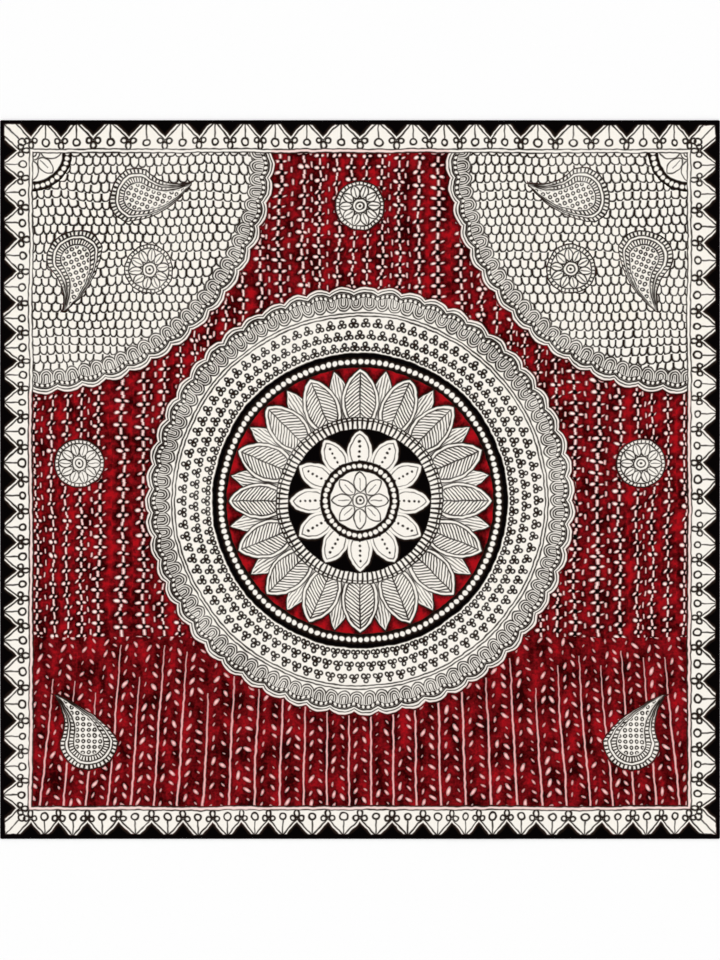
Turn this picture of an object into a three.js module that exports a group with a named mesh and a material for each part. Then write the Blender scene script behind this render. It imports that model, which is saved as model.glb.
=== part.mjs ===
// Painted temple cloth: one square of plain-woven cotton, drawn in iron black and dyed red, lying flat.
// Units are millimetres, +Z is up and the origin is the middle of the underside.
// +Y is the top of the design, as a person standing in front of the hung cloth sees it.
// The maker cuts one piece and rolls its four edges into a narrow hem, so the whole cloth is one solid.

import * as THREE from "three";

// Driving sizes.
const CLOTH_WIDTH = 610;
const CLOTH_LENGTH = 609;
const CLOTH_THICKNESS = 1.0;
const HEM_WIDTH = 3.4;
const HEM_THICKNESS = 1.2;
const HEM_SLOPE = 0.8;
const HEM_STEPS = 6;
const CORNER_RADIUS = 2.5;
const CORNER_TIGHTEST = 0.5;
const CORNER_STEPS = 6;

// The rolled edge seen in section: half a round at the outside, the flat top of the hem,
// and a short slope down to the face. inset is the distance in from the outermost edge,
// and height is the distance up from the underside.
const hemRound = HEM_THICKNESS / 2;
const hemSection = [];
for (let step = 0; step <= HEM_STEPS; step += 1) {
  const turn = (step / HEM_STEPS - 0.5) * Math.PI;
  hemSection.push({ inset: hemRound * (1 - Math.cos(turn)), height: hemRound * (1 + Math.sin(turn)) });
}
hemSection.push({ inset: HEM_WIDTH - HEM_SLOPE, height: HEM_THICKNESS });
hemSection.push({ inset: HEM_WIDTH, height: CLOTH_THICKNESS });

// One turn round the cloth, anticlockwise from above, with rounded corners.
function outlineAt(inset) {
  const reach = new THREE.Vector2(CLOTH_WIDTH / 2 - inset, CLOTH_LENGTH / 2 - inset);
  const radius = Math.max(CORNER_RADIUS - inset, CORNER_TIGHTEST);
  const corners = [
    { x: 1, y: 1, start: 0 },
    { x: -1, y: 1, start: Math.PI / 2 },
    { x: -1, y: -1, start: Math.PI },
    { x: 1, y: -1, start: (3 * Math.PI) / 2 },
  ];
  const points = [];
  for (const corner of corners) {
    for (let step = 0; step <= CORNER_STEPS; step += 1) {
      const angle = corner.start + (step / CORNER_STEPS) * (Math.PI / 2);
      points.push(
        new THREE.Vector2(
          corner.x * (reach.x - radius) + radius * Math.cos(angle),
          corner.y * (reach.y - radius) + radius * Math.sin(angle),
        ),
      );
    }
  }
  return points;
}

// Joins the rings of the section into one closed skin, with a flat underside and a flat face.
function hemmedSheet(section) {
  const rings = section.map((row) => outlineAt(row.inset));
  const ringSize = rings[0].length;
  const positions = [];
  rings.forEach((ring, r) => {
    ring.forEach((point) => positions.push(point.x, point.y, section[r].height));
  });

  const faces = [];
  for (let r = 0; r + 1 < rings.length; r += 1) {
    for (let i = 0; i < ringSize; i += 1) {
      const next = (i + 1) % ringSize;
      const low = r * ringSize;
      const high = low + ringSize;
      faces.push(low + i, low + next, high + next);
      faces.push(low + i, high + next, high + i);
    }
  }
  const lastRing = (rings.length - 1) * ringSize;
  for (const [a, b, c] of THREE.ShapeUtils.triangulateShape(rings[0], [])) {
    faces.push(a, c, b);
  }
  for (const [a, b, c] of THREE.ShapeUtils.triangulateShape(rings[rings.length - 1], [])) {
    faces.push(lastRing + a, lastRing + b, lastRing + c);
  }

  const geometry = new THREE.BufferGeometry();
  geometry.setAttribute("position", new THREE.Float32BufferAttribute(positions, 3));
  geometry.setIndex(faces);
  geometry.computeVertexNormals();
  return geometry;
}

// The cloth seen from afar: unbleached cotton, black line and madder red mix to a warm brown.
const paintedCotton = new THREE.MeshStandardMaterial({
  color: new THREE.Color(0.55, 0.42, 0.4),
  roughness: 0.9,
  metalness: 0,
});

const cloth = new THREE.Mesh(hemmedSheet(hemSection), paintedCotton);
cloth.name = "painted_cloth";

const temple_cloth = new THREE.Group();
temple_cloth.add(cloth);

export default temple_cloth;
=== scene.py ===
import math
import bmesh
import bpy
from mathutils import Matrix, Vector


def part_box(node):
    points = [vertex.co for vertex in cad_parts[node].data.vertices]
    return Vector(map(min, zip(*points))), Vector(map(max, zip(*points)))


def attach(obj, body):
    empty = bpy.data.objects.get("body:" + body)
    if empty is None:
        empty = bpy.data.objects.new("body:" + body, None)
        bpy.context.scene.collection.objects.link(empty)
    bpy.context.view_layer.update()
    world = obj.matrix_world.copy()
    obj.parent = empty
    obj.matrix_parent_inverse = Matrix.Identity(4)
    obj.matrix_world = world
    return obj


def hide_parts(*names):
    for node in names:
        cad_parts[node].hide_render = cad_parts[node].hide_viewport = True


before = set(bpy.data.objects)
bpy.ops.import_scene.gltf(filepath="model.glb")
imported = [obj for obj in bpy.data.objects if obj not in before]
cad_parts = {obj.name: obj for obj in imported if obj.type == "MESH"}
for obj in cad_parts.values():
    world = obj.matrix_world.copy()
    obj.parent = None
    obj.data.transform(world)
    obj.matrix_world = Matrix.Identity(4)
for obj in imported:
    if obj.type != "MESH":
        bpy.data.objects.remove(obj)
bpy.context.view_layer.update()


# The table, the light and the place of the camera.
# The cloth lies face up on a plain pale table that fills the view, and is seen from straight above.
# Even studio light comes from all round, with a soft share from the upper left to show the weave.

cloth_low, cloth_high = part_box("painted_cloth")
CLOTH_WIDTH = cloth_high.x - cloth_low.x
CLOTH_LENGTH = cloth_high.y - cloth_low.y
TABLE_SIDE = 40.0
TABLE_WHITE = (0.97, 0.97, 0.97, 1.0)
TABLE_ROUGHNESS = 0.85
TABLE_SHINE = 0.05
LENS = 85.0
FILM_SIDE = 36.0
IMAGE_HEIGHT_PIXELS = 960
CLOTH_WIDTH_PIXELS = 720.0
CLOTH_ABOVE_MIDDLE_PIXELS = 0.45
ROOM_WHITE = (1.0, 1.0, 1.0, 1.0)
ROOM_LIGHT = 0.88
WINDOW_LIGHT = 0.62
WINDOW_SOFTNESS = 40.0
WINDOW_LEAN = (38.0, -24.0)

bpy.ops.object.select_all(action="DESELECT")
bpy.ops.mesh.primitive_plane_add(size=TABLE_SIDE, location=(0.0, 0.0, 0.0))
table = bpy.context.active_object
table.name = "table_top"
table_finish = bpy.data.materials.new("pale table")
table_finish.use_nodes = True
table_paint = table_finish.node_tree.nodes["Principled BSDF"]
table_paint.inputs["Base Color"].default_value = TABLE_WHITE
table_paint.inputs["Roughness"].default_value = TABLE_ROUGHNESS
table_paint.inputs["Specular IOR Level"].default_value = TABLE_SHINE
table.data.materials.append(table_finish)

bpy.context.scene.view_settings.view_transform = "Standard"
room = bpy.data.worlds.new("studio room")
room.use_nodes = True
room.node_tree.nodes["Background"].inputs["Strength"].default_value = ROOM_LIGHT
room.node_tree.nodes["Background"].inputs["Color"].default_value = ROOM_WHITE
bpy.context.scene.world = room

window = bpy.data.lights.new("soft window", "SUN")
window.energy = WINDOW_LIGHT
window.angle = math.radians(WINDOW_SOFTNESS)
window_holder = bpy.data.objects.new("soft window", window)
window_holder.rotation_euler = (math.radians(-WINDOW_LEAN[1]), math.radians(-WINDOW_LEAN[0]), 0.0)
bpy.context.scene.collection.objects.link(window_holder)

metres_per_pixel = CLOTH_WIDTH / CLOTH_WIDTH_PIXELS
camera_height = IMAGE_HEIGHT_PIXELS * metres_per_pixel * LENS / FILM_SIDE
camera_lens = bpy.data.cameras.new("overhead camera")
camera_lens.lens = LENS
camera_lens.sensor_width = FILM_SIDE
camera = bpy.data.objects.new("overhead camera", camera_lens)
camera.location = (0.0, -CLOTH_ABOVE_MIDDLE_PIXELS * metres_per_pixel, cloth_high.z + camera_height)
bpy.context.scene.collection.objects.link(camera)
bpy.context.scene.camera = camera


# The cloth: one square of plain-woven cotton, thin and limp, cut and then rolled into a narrow hem.
# It lies flat, with slight swells where it was folded and carried, and the hem stands a little proud.
# It is laid down as a grid, given its thickness, and its rim is drawn out and round into the hem.

BODY_THICKNESS = 0.00045
BODY_LIFT = 0.00003
HEM_WIDTH = 0.0034
HEM_HEIGHT = 0.0012
GRID_STEPS = 150
CORNER_ROUND = 0.0012
CORNER_STEPS = 3
NEARLY = 0.1
UPRIGHT = 0.5
LEVEL = 0.9
FACES_DOWN = -0.3
SHARPEST_TURN = 60.0
# Each row is a line round the hem in section: how far in from the outermost edge, the height of its
# middle, and half its thickness.
hem_rows = [
    {"inset": 0.0029, "middle": 0.00042, "half": 0.00038},
    {"inset": 0.0022, "middle": 0.00056, "half": 0.00055},
    {"inset": 0.0012, "middle": 0.00060, "half": 0.00060},
    {"inset": 0.0005, "middle": 0.00060, "half": 0.00052},
    {"inset": 0.0002, "middle": 0.00060, "half": 0.00038},
    {"inset": 0.0000, "middle": 0.00060, "half": 0.00015},
]
# Each swell is a soft ridge: its middle, its direction in degrees, its half length and half width,
# and its height.
swells = [
    {"at": (-0.16, 0.11), "turned": 12.0, "long": 0.20, "wide": 0.034, "high": 0.0011},
    {"at": (0.12, 0.19), "turned": -28.0, "long": 0.16, "wide": 0.028, "high": 0.0009},
    {"at": (0.17, -0.08), "turned": 74.0, "long": 0.19, "wide": 0.036, "high": 0.0012},
    {"at": (-0.10, -0.17), "turned": -8.0, "long": 0.17, "wide": 0.030, "high": 0.0010},
    {"at": (0.02, 0.02), "turned": 48.0, "long": 0.22, "wide": 0.040, "high": 0.0007},
    {"at": (-0.25, -0.06), "turned": 86.0, "long": 0.12, "wide": 0.024, "high": 0.0009},
    {"at": (0.20, -0.24), "turned": 22.0, "long": 0.11, "wide": 0.022, "high": 0.0008},
]

bpy.ops.object.select_all(action="DESELECT")
body_middle = BODY_LIFT + BODY_THICKNESS / 2
bpy.ops.mesh.primitive_grid_add(
    x_subdivisions=GRID_STEPS, y_subdivisions=GRID_STEPS, size=1.0, location=(0.0, 0.0, 0.0)
)
cloth = bpy.context.active_object
cloth.name = "painted_cloth_sheet"
cloth.data.name = "painted_cloth_sheet"
bpy.ops.object.mode_set(mode="EDIT")
bpy.ops.mesh.select_all(action="SELECT")
bpy.ops.transform.resize(
    value=(CLOTH_WIDTH - 2 * HEM_WIDTH, CLOTH_LENGTH - 2 * HEM_WIDTH, 1.0), center_override=(0.0, 0.0, 0.0)
)
bpy.ops.transform.translate(value=(0.0, 0.0, body_middle))
bpy.ops.object.mode_set(mode="OBJECT")
thickness = cloth.modifiers.new("thickness of the cotton", "SOLIDIFY")
thickness.thickness = BODY_THICKNESS
thickness.offset = 0.0
bpy.ops.object.modifier_apply(modifier=thickness.name)


def select_in_edit_mode(parts, wanted):
    """Selects the faces or edges of the open mesh for which wanted is true."""
    mesh = bmesh.from_edit_mesh(cloth.data)
    bpy.ops.mesh.select_all(action="DESELECT")
    for part in getattr(mesh, parts):
        if wanted(part):
            part.select_set(True)
    mesh.select_flush(True)
    bmesh.update_edit_mesh(cloth.data)


def is_upright_corner(edge):
    """True for the short upright edges at the four corners of the sheet."""
    across = abs(edge.verts[0].co.x - edge.verts[1].co.x) + abs(edge.verts[0].co.y - edge.verts[1].co.y)
    at_side = abs(edge.verts[0].co.x) > CLOTH_WIDTH / 2 - HEM_WIDTH * (1 + NEARLY)
    at_end = abs(edge.verts[0].co.y) > CLOTH_LENGTH / 2 - HEM_WIDTH * (1 + NEARLY)
    return across < BODY_THICKNESS * NEARLY and at_side and at_end


bpy.ops.object.mode_set(mode="EDIT")
bpy.ops.mesh.select_mode(type="EDGE")
select_in_edit_mode("edges", is_upright_corner)
bpy.ops.mesh.bevel(offset=CORNER_ROUND, segments=CORNER_STEPS, affect="EDGES")
bpy.ops.mesh.select_mode(type="FACE")
select_in_edit_mode("faces", lambda face: abs(face.normal.z) < UPRIGHT)
row_before = {"inset": HEM_WIDTH, "middle": body_middle, "half": BODY_THICKNESS / 2}
for row in hem_rows:
    bpy.ops.mesh.extrude_region_move()
    bpy.ops.transform.resize(
        value=(
            (CLOTH_WIDTH / 2 - row["inset"]) / (CLOTH_WIDTH / 2 - row_before["inset"]),
            (CLOTH_LENGTH / 2 - row["inset"]) / (CLOTH_LENGTH / 2 - row_before["inset"]),
            row["half"] / row_before["half"],
        ),
        center_override=(0.0, 0.0, row_before["middle"]),
    )
    bpy.ops.transform.translate(value=(0.0, 0.0, row["middle"] - row_before["middle"]))
    row_before = row
bpy.ops.mesh.select_all(action="SELECT")
bpy.ops.mesh.normals_make_consistent(inside=False)
bpy.ops.object.mode_set(mode="OBJECT")

# The map for painting is laid while the sheet is still flat: the face takes nearly all of it.
FACE_SHARE = 0.875
BACK_SHARE = 0.105
MAP_MARGIN = 0.004
painting_map = cloth.data.uv_layers.new(name="OFBake")
for face in cloth.data.polygons:
    is_back = face.normal.z < FACES_DOWN
    for corner in face.loop_indices:
        point = cloth.data.vertices[cloth.data.loops[corner].vertex_index].co
        side_drop = max(HEM_HEIGHT - point.z, 0.0) if abs(face.normal.z) < LEVEL else 0.0
        spread = 1.0 + side_drop / CLOTH_WIDTH
        across = (point.x * spread + CLOTH_WIDTH / 2 + HEM_HEIGHT) / (CLOTH_WIDTH + 2 * HEM_HEIGHT)
        along = (point.y * spread + CLOTH_LENGTH / 2 + HEM_HEIGHT) / (CLOTH_LENGTH + 2 * HEM_HEIGHT)
        if is_back:
            across = FACE_SHARE + 2 * MAP_MARGIN + (1.0 - across) * BACK_SHARE
            painting_map.data[corner].uv = (across, MAP_MARGIN + along * (1.0 - 2 * MAP_MARGIN))
        else:
            painting_map.data[corner].uv = (MAP_MARGIN + across * FACE_SHARE, MAP_MARGIN + along * FACE_SHARE)

for point in cloth.data.vertices:
    lift = 0.0
    for swell in swells:
        turn = math.radians(swell["turned"])
        from_x = point.co.x - swell["at"][0]
        from_y = point.co.y - swell["at"][1]
        along = (from_x * math.cos(turn) + from_y * math.sin(turn)) / swell["long"]
        across = (from_y * math.cos(turn) - from_x * math.sin(turn)) / swell["wide"]
        lift += swell["high"] * math.exp(-along * along - across * across)
    point.co.z += lift
bpy.ops.object.shade_smooth_by_angle(angle=math.radians(SHARPEST_TURN))


# The hand that draws.
# A bamboo pen wrapped in cotton is drawn freehand, so every line wanders a little, trembles, and
# runs thick or thin as the pen fills and dries. Rows drawn without a rule wander more.

MM = 1000.0
PEN = 0.62
FINE_PEN = 0.40
TREMBLE_REACH = 7.5
TREMBLE = 1.5
WANDER_REACH = 58.0
WANDER = 2.4
LOOSE_WANDER = 5.0
PRESSURE = 0.4
POOL_REACH = 11.0
POOL_STRETCH = 0.5
GRAIN_REACH = 2.3


class Measure:
    """A number that changes over the cloth, such as a distance in millimetres.

    A mark is kept as the distance from its own edge, below nought inside it, so that marks can be
    joined and trimmed.
    """

    def __init__(self, drawing, socket):
        self.drawing = drawing
        self.socket = socket

    def work(self, operation, *others, held=False):
        node = self.drawing.nodes.new("ShaderNodeMath")
        node.operation = operation
        node.use_clamp = held
        for place, value in zip(node.inputs, (self,) + others):
            if isinstance(value, Measure):
                self.drawing.links.new(value.socket, place)
            else:
                place.default_value = value
        return Measure(self.drawing, node.outputs[0])

    def __add__(self, other):
        return self.work("ADD", other)

    def __sub__(self, other):
        return self.work("SUBTRACT", other)

    def __rsub__(self, other):
        return self.work("MULTIPLY_ADD", -1.0, other)

    def __mul__(self, other):
        return self.work("MULTIPLY", other)

    def __truediv__(self, other):
        return self.work("DIVIDE", other)

    def __abs__(self):
        return self.work("ABSOLUTE")

    def __gt__(self, other):
        return self.work("GREATER_THAN", other)

    def __lt__(self, other):
        return self.work("LESS_THAN", other)


def open_drawing(name, takes, gives):
    """Starts a drawing with named places to read and named marks to give."""
    drawing = bpy.data.node_groups.new(name, "ShaderNodeTree")
    for label in takes:
        drawing.interface.new_socket(name=label, in_out="INPUT", socket_type="NodeSocketFloat")
    for label in gives:
        drawing.interface.new_socket(name=label, in_out="OUTPUT", socket_type="NodeSocketFloat")
    entry = drawing.nodes.new("NodeGroupInput")
    return drawing, [Measure(drawing, entry.outputs[label]) for label in takes]


def close_drawing(drawing, marks):
    """Gives the finished marks out of a drawing."""
    leave = drawing.nodes.new("NodeGroupOutput")
    for label, mark in marks.items():
        drawing.links.new(mark.socket, leave.inputs[label])


def mottling(drawing, place, reach, detail):
    """Soft cloudy variation, with clouds about as wide as reach."""
    node = drawing.nodes.new("ShaderNodeTexNoise")
    node.noise_dimensions = "2D"
    node.inputs["Scale"].default_value = 1.0 / reach
    node.inputs["Detail"].default_value = detail
    drawing.links.new(place, node.inputs["Vector"])
    return node


def vector_work(drawing, operation, first, *others):
    """One step of arithmetic on places."""
    node = drawing.nodes.new("ShaderNodeVectorMath")
    node.operation = operation
    for place, value in zip(node.inputs, (first,) + others):
        if isinstance(value, bpy.types.NodeSocket):
            drawing.links.new(value, place)
        else:
            place.default_value = value
    return node.outputs[0]


def parts_of(drawing, place):
    """The across, up and third parts of a place or a colour."""
    node = drawing.nodes.new("ShaderNodeSeparateXYZ")
    drawing.links.new(place, node.inputs[0])
    return [Measure(drawing, socket) for socket in node.outputs]


hand, _ = open_drawing(
    "freehand pen", [], ["Across", "Up", "Loose across", "Loose up", "Pressure", "Pool", "Grain"]
)
object_place = hand.nodes.new("ShaderNodeTexCoord").outputs["Object"]
true_place = vector_work(hand, "MULTIPLY", object_place, (MM, MM, 0.0))
tremble = mottling(hand, true_place, TREMBLE_REACH, detail=1.0).outputs["Color"]
wander = mottling(hand, true_place, WANDER_REACH, detail=1.0).outputs["Color"]
evened = vector_work(hand, "SUBTRACT", true_place, ((TREMBLE + WANDER) / 2, (TREMBLE + WANDER) / 2, 0.0))
trembling = vector_work(hand, "MULTIPLY_ADD", tremble, (TREMBLE, TREMBLE, 0.0), evened)
drawn = vector_work(hand, "MULTIPLY_ADD", wander, (WANDER, WANDER, 0.0), trembling)
loosened = vector_work(hand, "SUBTRACT", drawn, (LOOSE_WANDER / 2, LOOSE_WANDER / 2, 0.0))
loose = vector_work(hand, "MULTIPLY_ADD", wander, (LOOSE_WANDER, LOOSE_WANDER, 0.0), loosened)
stretched = vector_work(hand, "MULTIPLY", true_place, (1.0, POOL_STRETCH, 0.0))
drawn_parts = parts_of(hand, drawn)
loose_parts = parts_of(hand, loose)
close_drawing(hand, {
    "Across": drawn_parts[0],
    "Up": drawn_parts[1],
    "Loose across": loose_parts[0],
    "Loose up": loose_parts[1],
    "Pressure": (parts_of(hand, tremble)[2] + parts_of(hand, wander)[2] - 1.0) * PRESSURE,
    "Pool": Measure(hand, mottling(hand, stretched, POOL_REACH, detail=2.0).outputs[0]),
    "Grain": Measure(hand, mottling(hand, true_place, GRAIN_REACH, detail=2.0).outputs[0]),
})


# The toothed border, drawn in iron black round all four sides.
# A black band along the hem runs into deep notches between blunt cream teeth. Each tooth has a line
# along both sides and a stem with a berry, and three looped petals hang under each notch.

HALF_WIDTH_MM = CLOTH_WIDTH * MM / 2
HALF_LENGTH_MM = CLOTH_LENGTH * MM / 2
BAND_DEPTH = 3.8
NOTCH_DEPTH = 14.1
NOTCH_SLOPE = 1.12
FIRST_NOTCH = 26.0
TOP_TEETH = 20
BOTTOM_TEETH = 22
LEFT_TEETH = 22
RIGHT_TEETH = 21
TOOTH_CROWDING = 0.11
TOOTH_CROWDINGS = 3
TOOTH_LINE_INSET = 2.0
TOOTH_LINE_PEN = 0.70
BERRY_PEN = 0.85
FRAME_PEN = 0.58
STEM_END = 16.0
BERRY_DEPTH = 18.9
BERRY_RADIUS = 2.8
BERRY_LUCK = 0.7
CORNER_BERRY_SHIFT = 7.2
PETAL_SIDE = 3.5
PETAL_DEPTH = 17.4
PETAL_RADIUS = 2.1
LOW_PETAL_DEPTH = 21.5
LOW_PETAL_HALF_WIDTH = 2.05
LOW_PETAL_HALF_LENGTH = 3.2
FRAME_OUTER = 24.5
FRAME_INNER = 27.5
NOTCH_END = 18.0
STITCH_PITCH = 5.2
STITCH_HALF_LENGTH = 1.1
STITCH_HALF_WIDTH = 0.22


def grown(value, factor, shift):
    """The value times a factor, plus a shift."""
    return value.work("MULTIPLY_ADD", factor, shift)


def join(first, *others):
    """One mark made of several: whatever lies in any of them."""
    for other in others:
        first = first.work("MINIMUM", other)
    return first


def trim(mark, *limits):
    """The part of a mark that lies within every limit."""
    for limit in limits:
        mark = mark.work("MAXIMUM", limit)
    return mark


def span(across, up):
    """How far a spot is from nought, both ways together."""
    return across.work("MULTIPLY_ADD", across, up * up).work("SQRT")


def choose(test, where_true, where_false):
    """One value where the test holds and another where it doesn't."""
    node = test.drawing.nodes.new("ShaderNodeMix")
    for place, value in ((0, test), (2, where_false), (3, where_true)):
        if isinstance(value, Measure):
            test.drawing.links.new(value.socket, node.inputs[place])
        else:
            node.inputs[place].default_value = value
    return Measure(test.drawing, node.outputs[0])


def chance(number, seed):
    """A number from 0 to 1 that is one luck of the hand for each whole number."""
    node = number.drawing.nodes.new("ShaderNodeTexWhiteNoise")
    node.noise_dimensions = "1D"
    number.drawing.links.new((number + seed).socket, node.inputs["W"])
    return Measure(number.drawing, node.outputs["Value"])


def from_nearest(place, pitch):
    """How far a spot is from the nearest of a row of marks that are one pitch apart."""
    return place.work("PINGPONG", pitch / 2)


def oval(across, up, half_width, half_height):
    """A filled oval."""
    size = min(half_width, half_height)
    return grown(span(across * (1.0 / half_width), up * (1.0 / half_height)), size, -size)


def dab(across, along, half_length, half_width):
    """A short stroke with round ends."""
    past_end = (abs(along) - (half_length - half_width)).work("MAXIMUM", 0.0)
    return span(across, past_end) - half_width


def line(place, at, half_width):
    """A pen line where place equals at."""
    return abs(place - at) - half_width


border, (across, up) = open_drawing("toothed border", ["Across", "Up"], ["Ink", "Cream", "Depth", "Hem"])
from_side = HALF_WIDTH_MM - abs(across)
from_end = HALF_LENGTH_MM - abs(up)
depth = from_side.work("MINIMUM", from_end)
from_corner = from_side.work("MAXIMUM", from_end)
on_end = from_end < from_side
along = choose(on_end, across + HALF_WIDTH_MM, HALF_LENGTH_MM - up) - FIRST_NOTCH
toothed_width = 2 * (HALF_WIDTH_MM - FIRST_NOTCH)
toothed_length = 2 * (HALF_LENGTH_MM - FIRST_NOTCH)
teeth_per_mm = choose(
    on_end,
    choose(up > 0.0, TOP_TEETH / toothed_width, BOTTOM_TEETH / toothed_width),
    choose(across > 0.0, RIGHT_TEETH / toothed_length, LEFT_TEETH / toothed_length),
)
crowding = (along * (2 * math.pi * TOOTH_CROWDINGS / toothed_width)).work("SINE")
tooth_count = grown(crowding, TOOTH_CROWDING, along * teeth_per_mm)
notch_share = from_nearest(tooth_count, 1.0)
tooth_luck = chance(tooth_count.work("FLOOR"), seed=5.4)
in_corner = from_corner < FIRST_NOTCH
from_tooth = (0.5 - notch_share) / teeth_per_mm
from_notch = choose(in_corner, FIRST_NOTCH - from_corner, notch_share / teeth_per_mm)
beside_stem = choose(in_corner, (from_corner - depth) * math.sqrt(0.5), from_tooth)
down_stem = choose(in_corner, grown(from_corner + depth, math.sqrt(0.5), -CORNER_BERRY_SHIFT), depth)
tooth_side = grown(
    grown(from_notch, NOTCH_SLOPE, depth),
    1.0 / math.hypot(1.0, NOTCH_SLOPE),
    -NOTCH_DEPTH / math.hypot(1.0, NOTCH_SLOPE),
)
black_edge = join(depth - BAND_DEPTH, tooth_side)
tooth_lines = line(tooth_side, TOOTH_LINE_INSET, TOOTH_LINE_PEN)
stem = trim(beside_stem - PEN, down_stem - STEM_END)
berry_reach = grown(tooth_luck, BERRY_LUCK, span(beside_stem, down_stem - BERRY_DEPTH))
berry = line(berry_reach, BERRY_RADIUS + BERRY_LUCK / 2, BERRY_PEN)
side_petal = line(span(from_notch - PETAL_SIDE, depth - PETAL_DEPTH), PETAL_RADIUS, BERRY_PEN)
low_petal = oval(from_notch, depth - LOW_PETAL_DEPTH, LOW_PETAL_HALF_WIDTH, LOW_PETAL_HALF_LENGTH)
stitch = dab(
    depth - (HEM_WIDTH * MM + 2 * STITCH_HALF_WIDTH),
    from_nearest(along, STITCH_PITCH),
    STITCH_HALF_LENGTH,
    STITCH_HALF_WIDTH,
)
close_drawing(border, {
    "Ink": join(
        trim(join(tooth_lines, stem, berry, side_petal, abs(low_petal) - BERRY_PEN), depth - FRAME_OUTER),
        trim(black_edge, depth - NOTCH_END),
        line(depth, FRAME_OUTER, FRAME_PEN),
        line(depth, FRAME_INNER, FRAME_PEN),
    ),
    "Cream": trim(BAND_DEPTH - depth, 0.0 - tooth_side, depth - FRAME_INNER),
    "Depth": depth,
    "Hem": join(depth - HEM_WIDTH * MM, stitch),
})


# Fish scales, which fill the corner fans.
# Rows of small hand-drawn scales, each row half a scale over from the last, no two quite alike.

SCALE_WIDTH = 6.8
SCALE_HEIGHT = 7.3
SCALE_PEN = 0.64
SCALE_SIDE_PEN = 0.26
SCALE_LONGEST = 0.80
SCALE_LENGTH_LUCK = 0.12
SCALE_OVERLAP = 0.4
SCALE_SHIFT_LUCK = 4.4
SCALE_CROWDING = 0.55
SCALE_CROWDING_REACH = 3.1
SCALES_TO_A_ROW = 57.0


def steps(place, pitch):
    """Cuts a line into equal steps: how far a spot is from the middle of its step, and the step's number."""
    count = place * (1.0 / pitch)
    number = count.work("FLOOR")
    return grown(count - number, pitch, -pitch / 2), number


scales, (across, up) = open_drawing("fish scales", ["Across", "Up"], ["Ink"])
arc_drop = SCALE_WIDTH / 2 / (SCALE_LONGEST + SCALE_LENGTH_LUCK / 2) + SCALE_OVERLAP
row_place = (up + arc_drop) * (1.0 / SCALE_HEIGHT)
row = row_place.work("FLOOR")
above_arc = grown(row_place - row, SCALE_HEIGHT, -arc_drop)
half_over = (row * 0.5).work("FRACT") * SCALE_WIDTH
row_luck = chance(row, seed=3.3)
row_shift = grown(row_luck, SCALE_SHIFT_LUCK, across + half_over)
crowding = grown(row_shift, 1.0 / SCALE_CROWDING_REACH, row * SCALE_CROWDING_REACH).work("SINE")
in_row, scale_number = steps(grown(crowding, SCALE_CROWDING, row_shift), SCALE_WIDTH)
scale_luck = chance(grown(row, SCALES_TO_A_ROW, scale_number), seed=8.1)
round_end = above_arc.work("MINIMUM", 0.0) * grown(scale_luck, SCALE_LENGTH_LUCK, SCALE_LONGEST)
scale_line = line(span(in_row, round_end), SCALE_WIDTH / 2, SCALE_PEN)
thick_sides = (above_arc * (1.0 / arc_drop)).work("ADD", 1.0, held=True) * SCALE_SIDE_PEN
close_drawing(scales, {"Ink": scale_line - thick_sides})


# Vine rows, left bare in the red ground under a resist and picked out in black.
# Upright rows of short strokes, with a pair of leaves at each black knot between them, and now and
# then a lone stroke in the lane between two rows. Some rows stand close and some far apart.

VINE_PITCH = 14.9
VINE_CROWDING = 4.4
VINE_CROWDING_REACH = 21.0
VINE_SHIFT_LUCK = 2.2
KNOT_PITCH = 11.4
KNOT_PITCH_LUCK = 0.24
KNOT_START_LUCK = 57.0
KNOTS_TO_A_ROW = 41.0
KNOT_HALF_WIDTH = 1.7
KNOT_HALF_HEIGHT = 2.4
KNOT_SOLID = 1.6
LEAF_REACH = 2.3
LEAF_REACH_LUCK = 0.6
LEAF_HALF_LENGTH = 1.6
LEAF_HALF_WIDTH = 1.28
LEAF_SIZE_LUCK = 0.5
LEAF_SLANT_LEAST = -0.25
LEAF_SLANT_LUCK = 1.0
LEAF_SIDE_DIFFERENCE = 0.2
VINE_STROKE_HALF_LENGTH = 3.1
VINE_STROKE_HALF_WIDTH = 0.88
VINE_STROKE_SWAY = 0.9
LANE_STROKE_HALF_LENGTH = 2.0
LANE_STROKE_HALF_WIDTH = 0.66
LANE_STROKE_STEP = 9.4
LANE_STROKE_SWAY = 3.4
LANE_STROKE_SHIFT = 0.85
LANE_STROKE_SHARE = 0.56
LANE_START_LUCK = 23.0
LANE_STROKES_TO_A_ROW = 31.0
OUT_OF_REACH = 9.0

vines, (across, up) = open_drawing("vine rows", ["Across", "Up"], ["White", "Black"])
crowded = grown((across * (1.0 / VINE_CROWDING_REACH)).work("SINE"), VINE_CROWDING, across)
in_row, vine_number = steps(crowded, VINE_PITCH)
vine_luck = chance(vine_number, seed=1.7)
beside_vine = grown(vine_luck, VINE_SHIFT_LUCK, in_row) - VINE_SHIFT_LUCK / 2
vine_side = beside_vine.work("SIGN")
climbing = grown(vine_luck, KNOT_START_LUCK, up * grown(vine_luck, KNOT_PITCH_LUCK, 1.0))
from_knot, knot_number = steps(climbing, KNOT_PITCH)
knot_luck = chance(grown(vine_number, KNOTS_TO_A_ROW, knot_number), seed=5.9)
past_leaf = beside_vine - vine_side * grown(vine_luck, LEAF_REACH_LUCK, LEAF_REACH)
leaf_rise = from_knot - past_leaf * grown(knot_luck, LEAF_SLANT_LUCK, LEAF_SLANT_LEAST)
leaf = oval(past_leaf, leaf_rise, LEAF_HALF_LENGTH, LEAF_HALF_WIDTH) + vine_side * LEAF_SIDE_DIFFERENCE
leaf = grown(knot_luck, LEAF_SIZE_LUCK, leaf) - LEAF_SIZE_LUCK / 2
between_knots = KNOT_PITCH / 2 - abs(from_knot)
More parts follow.
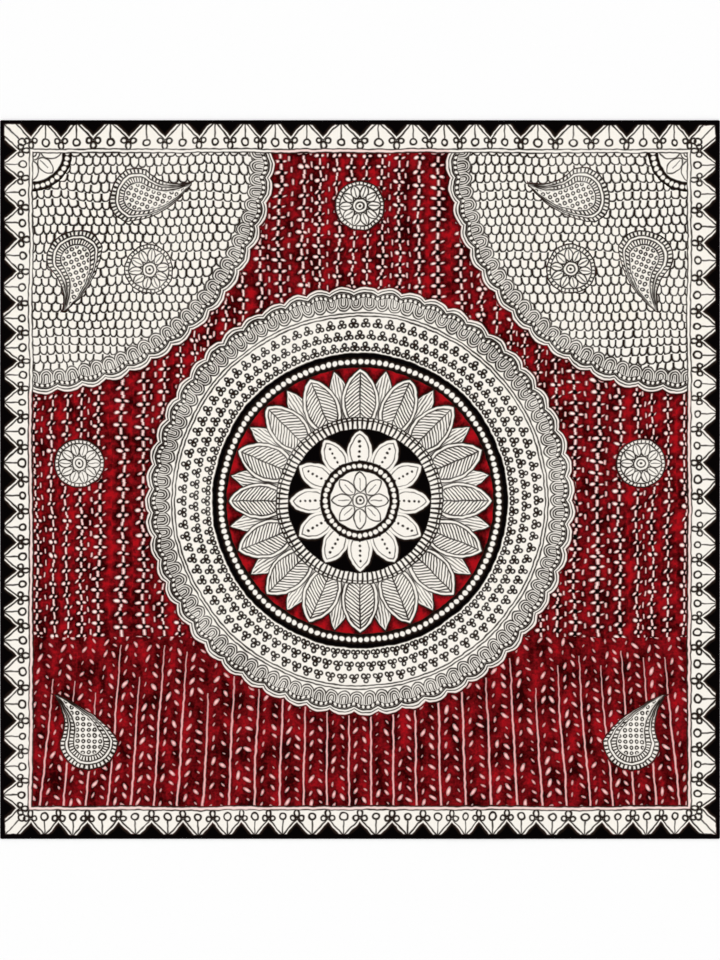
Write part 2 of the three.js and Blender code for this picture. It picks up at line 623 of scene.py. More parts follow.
beside_stroke = grown(knot_luck, VINE_STROKE_SWAY, beside_vine) - VINE_STROKE_SWAY / 2
vine_stroke = dab(beside_stroke, between_knots, VINE_STROKE_HALF_LENGTH, VINE_STROKE_HALF_WIDTH)
in_lane, lane_number = steps(crowded + VINE_PITCH / 2, VINE_PITCH)
lane_luck = chance(lane_number, seed=9.4)
from_lane_stroke, lane_step = steps(grown(lane_luck, LANE_START_LUCK, up), LANE_STROKE_STEP)
lane_step_luck = chance(grown(lane_number, LANE_STROKES_TO_A_ROW, lane_step), seed=2.2)
beside_lane_stroke = grown(lane_step_luck, LANE_STROKE_SWAY, in_lane) - LANE_STROKE_SHIFT
lane_stroke = dab(beside_lane_stroke, from_lane_stroke, LANE_STROKE_HALF_LENGTH, LANE_STROKE_HALF_WIDTH)
no_stroke_here = (lane_luck.work("MAXIMUM", lane_step_luck * 0.5) > LANE_STROKE_SHARE) * OUT_OF_REACH
vine_white = join(leaf, vine_stroke, lane_stroke + no_stroke_here)
knot = oval(beside_vine, from_knot, KNOT_HALF_WIDTH, KNOT_HALF_HEIGHT)
close_drawing(vines, {"White": vine_white, "Black": trim(knot, 0.0 - vine_white)})


# Leafy stems, left bare in the red ground of the lower part.
# Tall stems spread a little like rays, thicker towards the foot, each with slanting leaves on both
# sides that point up and out. The leaves on the right are longer and steeper than those on the left.

STEM_PITCH = 19.2
STEM_CROWDING = 2.6
STEM_CROWDING_REACH = 34.0
STEM_SPREAD = 0.00040
STEM_HALF_WIDTH = 0.26
STEM_TOP = -138.0
STEM_TOP_LUCK = 44.0
STEM_TAPER = 0.0065
STEM_GROWTH = 0.36
LEAF_STEP = 8.6
LEAF_START_LUCK = 29.0
LEAVES_TO_A_STEM = 17.0
LEAVES_TO_A_SIDE = 400.0
LEAF_STRETCH_RIGHT = 0.86
LEAF_OUT = 5.6
LEAF_OUT_LUCK = 1.4
LEAF_RISE_LUCK = 2.2
STEM_LEAF_HALF_LENGTH = 1.7
STEM_LEAF_HALF_WIDTH = 0.74
STEM_LEAF_LUCK = 1.0
SLANT_LEFT = math.radians(44.0)
SLANT_RIGHT = math.radians(28.0)
SLANT_LUCK = math.radians(34.0)

stems, (across, up) = open_drawing("leafy stems", ["Across", "Up"], ["White"])
spread = grown(STEM_TOP - up, STEM_SPREAD, 1.0)
rays = across / spread
crowded = grown((rays * (1.0 / STEM_CROWDING_REACH)).work("SINE"), STEM_CROWDING, rays)
beside_stem, stem_number = steps(crowded, STEM_PITCH)
stem_luck = chance(stem_number, seed=6.6)
below_top = (STEM_TOP - up) - stem_luck * stem_luck * STEM_TOP_LUCK
stem_width = (below_top * STEM_TAPER).work("MINIMUM", STEM_GROWTH) + STEM_HALF_WIDTH
bare_stem = trim(abs(beside_stem) - stem_width, 0.0 - below_top)
on_right = beside_stem > 0.0
climbing = grown(stem_luck, LEAF_START_LUCK, up * choose(on_right, LEAF_STRETCH_RIGHT, 1.0))
from_leaf, leaf_number = steps(climbing, LEAF_STEP)
stem_leaf_number = grown(stem_number, LEAVES_TO_A_STEM, leaf_number)
side_number = grown(on_right, LEAVES_TO_A_SIDE, stem_leaf_number)
leaf_luck = chance(side_number, seed=4.8)
leaf_slant_luck = chance(side_number, seed=7.7)
from_leaf = grown(chance(side_number, seed=2.9), LEAF_RISE_LUCK, from_leaf) - LEAF_RISE_LUCK / 2
out_from_leaf = grown(leaf_luck, LEAF_OUT_LUCK, abs(beside_stem)) - (LEAF_OUT + LEAF_OUT_LUCK / 2)
slant = grown(leaf_slant_luck, SLANT_LUCK, choose(on_right, SLANT_RIGHT, SLANT_LEFT)) - SLANT_LUCK / 2
slant_cos = slant.work("COSINE")
slant_sin = slant.work("SINE")
along_leaf = out_from_leaf * slant_sin + from_leaf * slant_cos
across_leaf = out_from_leaf * slant_cos - from_leaf * slant_sin
stem_leaf = oval(across_leaf, along_leaf, STEM_LEAF_HALF_WIDTH, STEM_LEAF_HALF_LENGTH)
uneven_leaf = grown(leaf_luck, STEM_LEAF_LUCK, stem_leaf) - STEM_LEAF_LUCK / 2
close_drawing(stems, {"White": join(bare_stem, uneven_leaf)})


# The scalloped band, which edges both the corner fans and the round lotus.
# From the red ground inwards: a double white rim in scallops, a row of beads on black, and a row of
# shells, each of three arches one inside the other.

SCALLOP_PITCH = 20.8
SCALLOP_RISE = 3.3
RIM_LINES = (2.2, 4.8)
RIM_PENS = (0.55, 0.85)
BEAD_FROM = 5.4
BEAD_TO = 9.4
BEADS_PER_SCALLOP = 5
BEAD_HALF_WIDTH = 1.15
BEAD_GAP = 0.7
SHELLS_PER_SCALLOP = 1.8
SHELL_BASE = 14.6
SHELL_ARCHES = (6.1, 3.9, 1.9)
SHELL_PEN = 0.64
SHELL_SEED = 0.3
SHELL_EDGE = 6.4
BAND_END = 21.2

band, (depth, scallop_turn) = open_drawing(
    "scalloped band", ["Depth", "Scallop turn"], ["Ink", "Rim", "Past shells"]
)
in_scallop = scallop_turn.work("FRACT") - 0.5
rim = depth - in_scallop * in_scallop * (SCALLOP_RISE * 4)
rim_lines = join(*[line(rim, at, pen) for at, pen in zip(RIM_LINES, RIM_PENS)])
bead_place = from_nearest(scallop_turn, 1.0 / BEADS_PER_SCALLOP) * SCALLOP_PITCH
bead_half_length = (BEAD_TO - BEAD_FROM) / 2 - BEAD_GAP
bead = dab(bead_place, rim - (BEAD_FROM + BEAD_TO) / 2, bead_half_length, BEAD_HALF_WIDTH)
bead_row = trim(0.0 - bead, BEAD_FROM - rim, rim - BEAD_TO)
shell_place = from_nearest(scallop_turn, 1.0 / SHELLS_PER_SCALLOP) * SCALLOP_PITCH
shell_reach = span(shell_place, (depth - SHELL_BASE).work("MAXIMUM", 0.0))
shell_arches = join(*[abs(shell_reach - arch) for arch in SHELL_ARCHES])
shell_lines = join(shell_reach - SHELL_SEED, shell_arches - SHELL_PEN)
close_drawing(band, {
    "Ink": join(rim_lines, bead_row, trim(shell_lines, BEAD_TO - rim)),
    "Rim": rim,
    "Past shells": shell_reach - SHELL_EDGE,
})


# The round lotus, which fills the middle of the cloth, and whose heart fills the tips of the fans.
# Ring inside ring: sprigs of three berries, pearls on black, large ribbed petals over a red ground,
# a comb of bars, small petals on black, more pearls, and a rosette at the heart.

LOTUS_RADIUS = 182.0
LOTUS_LINES = (113.3, 60.4, 33.4, 25.4, 6.2, 3.4)
LOTUS_DOUBLE_LINES = ((157.9, 1.3), (123.6, 1.2), (69.2, 1.2))
SPRIG_RING = 125.4
SPRIG_ROW = 10.0
SPRIG_COUNT = 94
SPRIG_BERRY = 1.55
SPRIG_PEN = 0.78
SPRIG_MIDDLE = 1.1
SPRIG_END = 155.4
SPRIG_TOP = 2.1
SPRIG_SIDE = 1.95
SPRIG_LOW = -1.55
PEARL_RING = 113.3
PEARL_MIDDLE = 117.8
PEARL_COUNT = 140
PEARL_RADIUS = 2.15
PETAL_RING = 70.0
PETAL_COUNT = 16
PETAL_MIDDLE = 85.0
PETAL_HALF_WIDTH = 15.6
PETAL_HALF_LENGTH = 27.0
PETAL_MARGIN = 3.0
PETAL_RIB_PITCH = 3.1
PETAL_RIB_SLOPE = 0.75
BEHIND_SHARE = 0.62
BEHIND_STRIPE = 2.5
BAR_RING = 60.4
BAR_COUNT = 100
BAR_HALF_WIDTH = 1.15
SMALL_PETAL_RING = 33.4
SMALL_PETAL_COUNT = 12
SMALL_PETAL_MIDDLE = 42.0
SMALL_PETAL_HALF_WIDTH = 10.4
SMALL_PETAL_HALF_LENGTH = 17.4
SMALL_PETAL_MARGIN = 2.6
SMALL_PETAL_DOT_PITCH = 4.2
SMALL_PETAL_DOT = 1.1
HEART_PEARL_RING = 25.4
HEART_PEARL_MIDDLE = 29.4
HEART_PEARL_COUNT = 40
HEART_PEARL_RADIUS = 1.85
ROSETTE_COUNT = 8
ROSETTE_MIDDLE = 15.6
ROSETTE_HALF_WIDTH = 5.2
ROSETTE_HALF_LENGTH = 8.6
ROSETTE_RIB = (9.0, 18.5)
HEART_DOT = 1.3
FAR_INSIDE = -6.0


def from_nearest_round(turn, count, way_round):
    """How far round a ring a spot is from the nearest of count marks, where way_round is the whole ring."""
    return from_nearest(turn, 1.0 / count) * way_round


def lens(beside, along, half_width, half_length):
    """A leaf or petal, pointed at both ends. Beside is how far a spot is from its middle line."""
    curve = (half_length * half_length + half_width * half_width) / (2 * half_width)
    return span(beside + (curve - half_width), along) - curve


lotus, (radius, turn) = open_drawing("round lotus", ["Radius", "Turn"], ["Ink", "Cream"])
way_round = radius * (2 * math.pi)
rosette_beside = from_nearest_round(turn, ROSETTE_COUNT, way_round)
rosette_petal = lens(rosette_beside, radius - ROSETTE_MIDDLE, ROSETTE_HALF_WIDTH, ROSETTE_HALF_LENGTH)
lotus_ink = join(
    abs(rosette_petal) - PEN,
    trim(rosette_beside - FINE_PEN, ROSETTE_RIB[0] - radius, radius - ROSETTE_RIB[1]),
    radius - HEART_DOT,
)
heart_pearl_beside = from_nearest_round(turn, HEART_PEARL_COUNT, way_round)
heart_pearl = span(heart_pearl_beside, radius - HEART_PEARL_MIDDLE)
lotus_ink = choose(radius > HEART_PEARL_RING, HEART_PEARL_RADIUS - heart_pearl, lotus_ink)
small_beside = from_nearest_round(turn, SMALL_PETAL_COUNT, way_round)
from_small_middle = radius - SMALL_PETAL_MIDDLE
small_petal = lens(small_beside, from_small_middle, SMALL_PETAL_HALF_WIDTH, SMALL_PETAL_HALF_LENGTH)
small_dots = span(small_beside, from_nearest(radius, SMALL_PETAL_DOT_PITCH)) - SMALL_PETAL_DOT
small_petal_ink = join(
    0.0 - small_petal,
    line(small_petal, -SMALL_PETAL_MARGIN, FINE_PEN),
    trim(small_dots, small_petal + 2 * SMALL_PETAL_MARGIN),
)
lotus_ink = choose(radius > SMALL_PETAL_RING, small_petal_ink, lotus_ink)
bar_beside = from_nearest_round(turn, BAR_COUNT, way_round)
lotus_ink = choose(radius > BAR_RING, BAR_HALF_WIDTH - bar_beside, lotus_ink)
petal_beside = from_nearest_round(turn, PETAL_COUNT, way_round)
from_petal_middle = radius - PETAL_MIDDLE
petal = lens(petal_beside, from_petal_middle, PETAL_HALF_WIDTH, PETAL_HALF_LENGTH)
ribs = from_nearest(grown(petal_beside, PETAL_RIB_SLOPE, radius), PETAL_RIB_PITCH)
petal_marks = join(
    line(petal, -PETAL_MARGIN, PEN),
    trim(join(ribs, petal_beside) - PEN, petal + PETAL_MARGIN),
)
behind_beside = way_round * (0.5 / PETAL_COUNT) - petal_beside
behind = lens(behind_beside, from_petal_middle, PETAL_HALF_WIDTH * BEHIND_SHARE, PETAL_HALF_LENGTH)
behind_marks = join(
    abs(behind) - PEN,
    trim(from_nearest(behind_beside, BEHIND_STRIPE) - FINE_PEN, behind + PETAL_MARGIN / 2),
)
petal_ink = join(abs(petal) - PEN, choose(petal < 0.0, petal_marks, behind_marks))
lotus_ink = choose(radius > PETAL_RING, petal_ink, lotus_ink)
pearl_beside = from_nearest_round(turn, PEARL_COUNT, way_round)
lotus_ink = choose(radius > PEARL_RING, PEARL_RADIUS - span(pearl_beside, radius - PEARL_MIDDLE), lotus_ink)
sprig_rise, sprig_row = steps(radius - SPRIG_RING, SPRIG_ROW)
sprig_beside = from_nearest_round(grown(sprig_row, 0.5 / SPRIG_COUNT, turn), SPRIG_COUNT, way_round)
berry_reach = join(
    span(sprig_beside, sprig_rise - SPRIG_TOP),
    span(sprig_beside - SPRIG_SIDE, sprig_rise - SPRIG_LOW),
)
sprig_ink = join(line(berry_reach, SPRIG_BERRY, SPRIG_PEN), span(sprig_beside, sprig_rise) - SPRIG_MIDDLE)
sprig_ink = trim(sprig_ink, SPRIG_RING - radius, radius - SPRIG_END)
lotus_ink = choose(radius > SPRIG_RING - SPRIG_PEN, sprig_ink, lotus_ink)
from_line = join(
    *[abs(radius - ring_radius) for ring_radius in LOTUS_LINES],
    *[abs(line(radius, ring_middle, gap)) for ring_middle, gap in LOTUS_DOUBLE_LINES],
)
lotus_ink = join(lotus_ink, from_line - PEN)
in_petal_ring = (radius > PETAL_RING) * (radius < PEARL_RING)
close_drawing(lotus, {
    "Ink": lotus_ink,
    "Cream": choose(in_petal_ring, join(petal, behind), FAR_INSIDE),
})


# Paisleys and small rosettes, which fill the places between the large forms.
# A paisley has a fringe of bars, a double outline with a row of bars in it, and ringed dots inside.
# A rosette has ten ribbed petals in a comb of bars.

PAISLEY_SIZE = 20.0
PAISLEY_TIP = 1.95
PAISLEY_CURL = 0.36
PAISLEY_FULLNESS = 0.8
PAISLEY_TIP_WIDTH = 0.03
FRINGE_LEVEL = 1.2
PAISLEY_LEVELS = (1.0, 0.86, 0.64)
PAISLEY_BARS = 6.4
PAISLEY_BAR_SHARE = 0.25
PAISLEY_BARRED = 1.15
PAISLEY_INNER_TIP = 1.45
SEED_PITCH = 4.8
SEED_RADIUS = 1.25

paisley, (across, up) = open_drawing("paisley", ["Across", "Up"], ["Ink", "Edge"])
above = (up * (1.0 / PAISLEY_SIZE)).work("MAXIMUM", 0.0)
below = (up * (1.0 / PAISLEY_SIZE)).work("MINIMUM", 0.0)
bent = across * (1.0 / PAISLEY_SIZE) - above * above * PAISLEY_CURL
taper = (1.0 - above * (1.0 / PAISLEY_TIP)).work("MAXIMUM", PAISLEY_TIP_WIDTH).work("POWER", PAISLEY_FULLNESS)
level = span(bent, below) / taper
lean = above * (2 * PAISLEY_CURL)
level_size = taper * PAISLEY_SIZE / (lean * lean + 1.0).work("SQRT")
paisley_edge = trim((level - FRINGE_LEVEL) * level_size, (above - PAISLEY_TIP) * PAISLEY_SIZE)
outlines = join(
    abs(level - PAISLEY_LEVELS[0]) * level_size,
    trim(join(*[abs(level - at) for at in PAISLEY_LEVELS[1:]]) * level_size, above - PAISLEY_INNER_TIP),
) - PEN
round_the_edge = below.work("ARCTAN2", abs(bent)) + above
from_bar = from_nearest(round_the_edge, 1.0 / PAISLEY_BARS)
bar_half_width = PAISLEY_SIZE * PAISLEY_BAR_SHARE / PAISLEY_BARS
bars = trim(grown(from_bar, PAISLEY_SIZE, -bar_half_width), above - PAISLEY_BARRED)
seeds = line(span(from_nearest(across, SEED_PITCH), from_nearest(up, SEED_PITCH)), SEED_RADIUS, PEN)
past_outline = (level - PAISLEY_LEVELS[0]) * level_size
past_inner = (level - PAISLEY_LEVELS[1]) * level_size
past_seeds = (level - PAISLEY_LEVELS[2]) * level_size
close_drawing(paisley, {
    "Ink": join(
        outlines,
        trim(bars, 0.0 - past_outline),
        trim(bars, past_inner, 0.0 - past_seeds),
        trim(seeds, past_seeds + SEED_RADIUS),
    ),
    "Edge": paisley_edge,
})

SMALL_ROSETTE_RADIUS = 20.5
SMALL_ROSETTE_COUNT = 10
SMALL_ROSETTE_MIDDLE = 11.9
SMALL_ROSETTE_HALF_WIDTH = 3.5
SMALL_ROSETTE_HALF_LENGTH = 5.6
SMALL_ROSETTE_MARGIN = 1.2
SMALL_ROSETTE_RINGS = (17.3, 6.2, 3.4)
SMALL_ROSETTE_DOT = 1.2
COMB_COUNT = 36

small_rosette, (across, up) = open_drawing("small rosette", ["Across", "Up"], ["Ink", "Edge"])
reach = span(across, up)
around = up.work("ARCTAN2", across) * (0.5 / math.pi)
way_round = reach * (2 * math.pi)
beside_petal = from_nearest_round(around, SMALL_ROSETTE_COUNT, way_round)
from_middle = reach - SMALL_ROSETTE_MIDDLE
small_lens = lens(beside_petal, from_middle, SMALL_ROSETTE_HALF_WIDTH, SMALL_ROSETTE_HALF_LENGTH)
close_drawing(small_rosette, {
    "Ink": join(
        abs(small_lens) - PEN,
        trim(beside_petal - FINE_PEN, small_lens + SMALL_ROSETTE_MARGIN),
        trim(from_nearest_round(around, COMB_COUNT, way_round) - PEN, SMALL_ROSETTE_RINGS[0] - reach),
        reach - SMALL_ROSETTE_DOT,
        join(*[abs(reach - ring) for ring in SMALL_ROSETTE_RINGS]) - PEN,
    ),
    "Edge": reach - SMALL_ROSETTE_RADIUS,
})


# The whole design, laid out on the square.
# Inside the border the upper corners hold quarter-round fans of fish scales and the middle holds the
# lotus. Vine rows fill the red ground above and leafy stems fill it below.

FIELD_HALF_WIDTH = HALF_WIDTH_MM - FRAME_INNER
FIELD_HALF_LENGTH = HALF_LENGTH_MM - FRAME_INNER
FAN_RADIUS = 205.0
FAN_SCALLOPS = 60
LOTUS_SCALLOPS = 55
LOTUS_UP = -18.0
GROUND_CHANGE = -133.5
FAN_HEART = 33.4
FAN_PAISLEY_REACH = 98.0
FAN_PAISLEY_TURN = 0.0625
DIAGONAL_TURN = 0.125
FAN_ROSETTE_REACH = 140.0
LOW_PAISLEY = (230.0, -222.0)
TOP_ROSETTE = (0.0, 232.0)
SIDE_ROSETTE = (238.0, 14.0)
# A halo is the dark rim round a bare mark, a stain is the red that creeps into its edge, and a shade
# is how fast the red round it brightens with distance.
SHAPE_HALO = 0.6
VINE_HALO = 1.3
VINE_HALO_LESS = 0.85
NO_HALO = -2.5
STEM_DYE = 1.65
VINE_DYE = 0.75
SOLID_FROM = 0.9
SOLID_REACH = 1.5
CLEAR_OF_SHAPES = 1.6
CLEAR_OF_FRAME = 1.0
VINE_STAIN_REACH = 1.0
STEM_STAIN_REACH = 1.6
EDGE_STAIN = 0.7
EDGE_STAIN_REACH = 4.0
DYE_REACH = 6.0
VINE_SHADE = 0.7
STEM_SHADE = 0.25
POOL_DEPTH = 8.5
GRAIN_DEPTH = 4.0


def use_drawing(sheet, drawing, places):
    """Places a drawing on a sheet, and returns the marks that it gives, by name."""
    node = sheet.nodes.new("ShaderNodeGroup")
    node.node_tree = drawing
    for label, value in places.items():
        if isinstance(value, Measure):
            sheet.links.new(value.socket, node.inputs[label])
        else:
            node.inputs[label].default_value = value
    return {socket.name: Measure(sheet, socket) for socket in node.outputs}


def kept_in(value):
    """The value, kept between nought and one."""
    return value.work("ADD", 0.0, held=True)


def filled(mark, softness):
    """How much of a spot a mark fills, fading over its soft edge."""
    return kept_in(0.5 - mark / softness)


design, (softness,) = open_drawing(
    "drawn and dyed design", ["Softness"], ["Ink", "Solid", "Bare", "Clean", "Dye", "Hem"]
)
hand_marks = use_drawing(design, hand, {})
across = hand_marks["Across"]
up = hand_marks["Up"]
loose_places = {"Across": hand_marks["Loose across"], "Up": hand_marks["Loose up"]}

vine_marks = use_drawing(design, vines, loose_places)
stem_white = use_drawing(design, stems, {"Across": across, "Up": up})["White"]
among_vines = up > GROUND_CHANGE
ground_white = choose(among_vines, vine_marks["White"], stem_white)

lotus_up = up - LOTUS_UP
lotus_reach = span(across, lotus_up)
lotus_turn = lotus_up.work("ARCTAN2", across) * (0.5 / math.pi)
fan_across = FIELD_HALF_WIDTH - abs(across)
fan_up = FIELD_HALF_LENGTH - up
fan_reach = span(fan_across, fan_up)
fan_turn = fan_up.work("ARCTAN2", fan_across) * (0.5 / math.pi)
in_fan = (FAN_RADIUS - fan_reach) > (LOTUS_RADIUS - lotus_reach)
band_depth = choose(in_fan, FAN_RADIUS - fan_reach, LOTUS_RADIUS - lotus_reach)
centre_reach = choose(in_fan, fan_reach, lotus_reach)
band_marks = use_drawing(design, band, {
    "Depth": band_depth,
    "Scallop turn": choose(in_fan, fan_turn * FAN_SCALLOPS, lotus_turn * LOTUS_SCALLOPS),
})
lotus_marks = use_drawing(design, lotus, {
    "Radius": centre_reach,
    "Turn": choose(in_fan, fan_turn, lotus_turn),
})
scale_ink = use_drawing(design, scales, loose_places)["Ink"]
on_scales = in_fan * (fan_reach > FAN_HEART)
inner_ink = choose(
    on_scales,
    trim(scale_ink, 0.0 - band_marks["Past shells"]),
    trim(lotus_marks["Ink"], centre_reach - (LOTUS_RADIUS - BAND_END)),
)
shape_ink = trim(join(inner_ink, band_marks["Ink"]), 0.0 - band_marks["Rim"])
shape_cream = trim(0.0 - band_marks["Rim"], choose(in_fan, FAR_INSIDE, lotus_marks["Cream"]))

near_fan = fan_reach < FAN_RADIUS
from_diagonal = abs(fan_turn - DIAGONAL_TURN)
fan_beside = (from_diagonal - FAN_PAISLEY_TURN) * (fan_reach * (2 * math.pi))
paisley_marks = use_drawing(design, paisley, {
    "Across": choose(near_fan, fan_beside, abs(across) - LOW_PAISLEY[0]),
    "Up": choose(near_fan, fan_reach - FAN_PAISLEY_REACH, up - LOW_PAISLEY[1]),
})
off_centre = abs(across) > SIDE_ROSETTE[0] / 2
rosette_across = abs(across) - choose(off_centre, SIDE_ROSETTE[0], TOP_ROSETTE[0])
rosette_up = up - choose(off_centre, SIDE_ROSETTE[1], TOP_ROSETTE[1])
rosette_marks = use_drawing(design, small_rosette, {
    "Across": choose(near_fan, from_diagonal * (fan_reach * (2 * math.pi)), rosette_across),
    "Up": choose(near_fan, fan_reach - FAN_ROSETTE_REACH, rosette_up),
})
filler_edge = join(paisley_marks["Edge"], rosette_marks["Edge"])
filler_ink = join(
    trim(paisley_marks["Ink"], paisley_marks["Edge"]),
    trim(rosette_marks["Ink"], rosette_marks["Edge"]),
    abs(filler_edge) - PEN,
)
on_filler = filler_edge < PEN
shape_ink = choose(on_filler, filler_ink, shape_ink)
shape_cream = choose(on_filler, filler_edge, shape_cream)
shape_outline = join(0.0 - band_marks["Rim"], filler_edge)

border_marks = use_drawing(design, border, {"Across": across, "Up": up})
past_frame = FRAME_INNER - border_marks["Depth"]
ink = join(choose(past_frame < 0.0, shape_ink, OUT_OF_REACH), border_marks["Ink"])
ground_limit = trim(CLEAR_OF_SHAPES - shape_outline, past_frame + CLEAR_OF_FRAME)
ground_white = trim(ground_white, ground_limit)
shape_cream = join(trim(shape_cream, past_frame), border_marks["Cream"])
bare = join(ground_white, shape_cream)
uneven_halo = grown(hand_marks["Pool"], VINE_HALO, -VINE_HALO_LESS)
ground_halo = choose(among_vines, uneven_halo, NO_HALO)
halo_width = choose(ground_white < shape_cream, ground_halo, SHAPE_HALO)
halo = trim(bare - halo_width, 0.0 - bare, past_frame)
knots = trim(vine_marks["Black"], ground_limit, GROUND_CHANGE - up)
ink = join(ink, halo, knots) - hand_marks["Pressure"]
ground_clean = ground_white * choose(among_vines, -1.0 / VINE_STAIN_REACH, -1.0 / STEM_STAIN_REACH)
edge_clean = grown(shape_outline, -1.0 / EDGE_STAIN_REACH, EDGE_STAIN).work("MAXIMUM", EDGE_STAIN)
shape_clean = choose(past_frame < FRAME_INNER - FRAME_OUTER, edge_clean, 1.0)
clean = choose(ground_white < 0.0, ground_clean, shape_clean)
shaded = bare * choose(among_vines, VINE_SHADE, STEM_SHADE)
dyed = shaded + choose(among_vines, VINE_DYE, STEM_DYE)
pooled = grown(hand_marks["Pool"], POOL_DEPTH, dyed) - POOL_DEPTH / 2
grained = grown(hand_marks["Grain"], GRAIN_DEPTH, pooled) - GRAIN_DEPTH / 2
deep_in_black = join(ink, knots - KNOT_SOLID) + SOLID_FROM
close_drawing(design, {
    "Ink": filled(ink, softness),
    "Solid": kept_in(deep_in_black * (-1.0 / SOLID_REACH)),
    "Bare": filled(bare, softness),
    "Clean": kept_in(clean),
    "Dye": grained * (1.0 / DYE_REACH),
    "Hem": filled(border_marks["Hem"], softness),
})


# The weave: plain cotton, about 22 threads to the centimetre each way.
# The yarn is handspun, so each thread runs a little thick and thin, and takes the dye lighter and darker.

THREAD_PITCH = 0.45
SLUB_WIDTH = 1.1
SLUB_LENGTH = 16.0

weave, _ = open_drawing("plain weave", [], ["Height", "Thread"])
object_place = weave.nodes.new("ShaderNodeTexCoord").outputs["Object"]
in_threads = vector_work(weave, "MULTIPLY", object_place, (MM / THREAD_PITCH, MM / THREAD_PITCH, 0.0))
thread_place = parts_of(weave, in_threads)
warp_round = (thread_place[0] * math.pi).work("SINE")
weft_round = (thread_place[1] * math.pi).work("SINE")
half_count = (thread_place[0].work("FLOOR") + thread_place[1].work("FLOOR")) * 0.5
crossing = half_count.work("FRACT") * 2.0
over = choose(crossing, abs(warp_round), abs(weft_round))
warp_place = vector_work(weave, "MULTIPLY", object_place, (MM / SLUB_WIDTH, MM / SLUB_LENGTH, 0.0))
weft_place = vector_work(weave, "MULTIPLY", object_place, (MM / SLUB_LENGTH, MM / SLUB_WIDTH, 0.0))
warp_slubs = Measure(weave, mottling(weave, warp_place, 1.0, detail=1.0).outputs[0])
weft_slubs = Measure(weave, mottling(weave, weft_place, 1.0, detail=1.0).outputs[0])
slubs = (warp_slubs + weft_slubs) * 0.5
close_drawing(weave, {"Height": over, "Thread": slubs})


# The finish of the cloth: bare cotton in warm cream, deep pooled red, and iron black that is nearly solid.
# The face takes the dyes full strength, and the back shows them paler and softer, as they soak through.
# The hem is rolled to the back, so the black of the face shows on it all round.

SHADE_CHANGE = 0.10
COTTON_ROUGHNESS = 0.93
INK_SMOOTHNESS = -0.08
COTTON_SHINE = 0.02
WEAVE_STRENGTH = 0.4
WEAVE_DEPTH = 0.00006
FACE_SOFTNESS = 0.85
BACK_SOFTNESS = 2.4
HEM_BLACK = (0.0014, 0.0007, 0.0008, 1.0)
face_colours = {
    "cream": (0.945, 0.898, 0.824, 1.0),
    "stained": (0.93, 0.34, 0.35, 1.0),
    "reds": (
        (0.0, (0.020, 0.0004, 0.0006, 1.0)),
        (0.12, (0.044, 0.0005, 0.0010, 1.0)),
        (0.26, (0.088, 0.0019, 0.0029, 1.0)),
        (0.44, (0.148, 0.0033, 0.0053, 1.0)),
        (0.66, (0.265, 0.0046, 0.0083, 1.0)),
        (0.90, (0.400, 0.0047, 0.0088, 1.0)),
    ),
    "line": (0.017, 0.010, 0.007, 1.0),
    "black": (0.0012, 0.0006, 0.0007, 1.0),
    "hem": HEM_BLACK,
}
back_colours = {
    "cream": (0.84, 0.77, 0.70, 1.0),
    "stained": (0.70, 0.42, 0.41, 1.0),
    "reds": (
        (0.0, (0.22, 0.085, 0.085, 1.0)),
        (0.5, (0.32, 0.11, 0.115, 1.0)),
        (0.9, (0.42, 0.13, 0.14, 1.0)),
    ),
    "line": (0.15, 0.115, 0.10, 1.0),
    "black": (0.12, 0.095, 0.09, 1.0),
    "hem": HEM_BLACK,
}


def laid_over(sheet, amount, under, over):
    """One colour over another, as far as the amount says."""
    node = sheet.nodes.new("ShaderNodeMix")
    node.data_type = "RGBA"
    for place, value in ((0, amount), (6, under), (7, over)):
        if isinstance(value, bpy.types.NodeSocket):
            sheet.links.new(value, node.inputs[place])
        else:
            node.inputs[place].default_value = value
    return node.outputs[2]


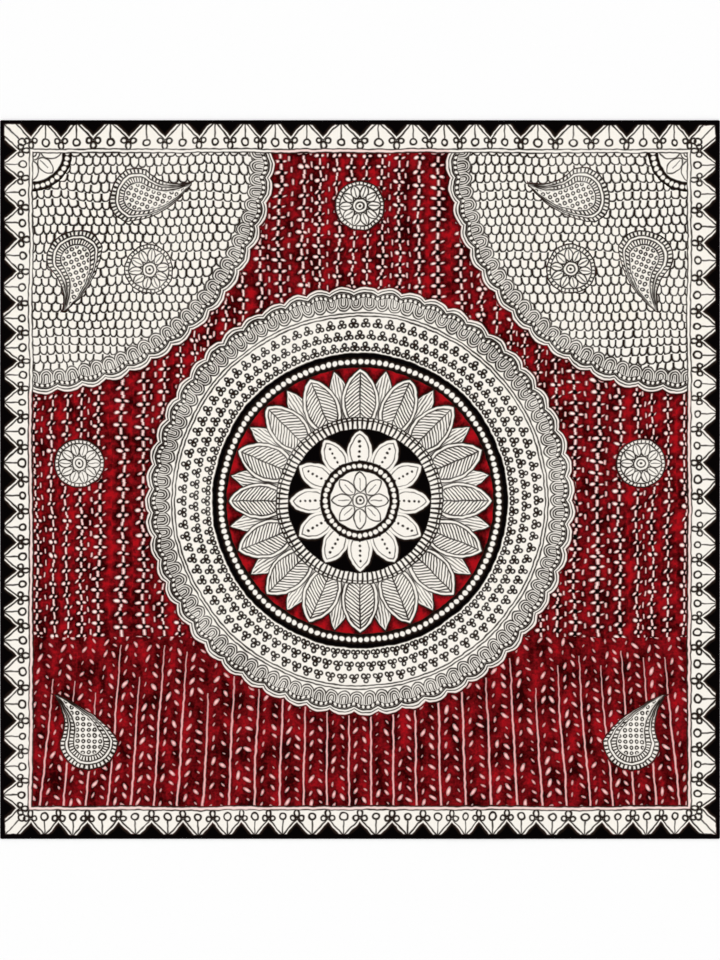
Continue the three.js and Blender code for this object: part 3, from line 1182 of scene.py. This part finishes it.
def dyed_cotton(name, softness, colours):
    """The finish of one side of the cloth: the shared drawing in that side's own colours."""
    finish = bpy.data.materials.new(name)
    finish.use_nodes = True
    sheet = finish.node_tree
    surface = sheet.nodes["Principled BSDF"]
    marks = use_drawing(sheet, design, {"Softness": softness})
    threads = use_drawing(sheet, weave, {})
    red = sheet.nodes.new("ShaderNodeValToRGB")
    while len(red.color_ramp.elements) < len(colours["reds"]):
        red.color_ramp.elements.new(0.5)
    for stop, (place, colour) in zip(red.color_ramp.elements, colours["reds"]):
        stop.position = place
        stop.color = colour
    sheet.links.new(marks["Dye"].socket, red.inputs[0])
    cotton = laid_over(sheet, marks["Clean"].socket, colours["stained"], colours["cream"])
    ground = laid_over(sheet, marks["Bare"].socket, red.outputs["Color"], cotton)
    black = laid_over(sheet, marks["Solid"].socket, colours["line"], colours["black"])
    drawn_over = laid_over(sheet, marks["Ink"].socket, ground, black)
    hemmed = laid_over(sheet, marks["Hem"].socket, drawn_over, colours["hem"])
    shade = sheet.nodes.new("ShaderNodeHueSaturation")
    thread_shade = grown(threads["Thread"], SHADE_CHANGE, 1.0 - SHADE_CHANGE / 2)
    sheet.links.new(thread_shade.socket, shade.inputs["Value"])
    sheet.links.new(hemmed, shade.inputs["Color"])
    sheet.links.new(shade.outputs[0], surface.inputs["Base Color"])
    roughness = grown(marks["Ink"], INK_SMOOTHNESS, COTTON_ROUGHNESS)
    sheet.links.new(roughness.socket, surface.inputs["Roughness"])
    surface.inputs["Specular IOR Level"].default_value = COTTON_SHINE
    bump = sheet.nodes.new("ShaderNodeBump")
    bump.inputs["Strength"].default_value = WEAVE_STRENGTH
    bump.inputs["Distance"].default_value = WEAVE_DEPTH
    sheet.links.new(threads["Height"].socket, bump.inputs["Height"])
    sheet.links.new(bump.outputs[0], surface.inputs["Normal"])
    return finish


cloth.data.materials.append(dyed_cotton("painted face", FACE_SOFTNESS, face_colours))
cloth.data.materials.append(dyed_cotton("soaked-through back", BACK_SOFTNESS, back_colours))
for face in cloth.data.polygons:
    face.material_index = 1 if face.normal.z < FACES_DOWN else 0

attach(cloth, "root")
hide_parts("painted_cloth")
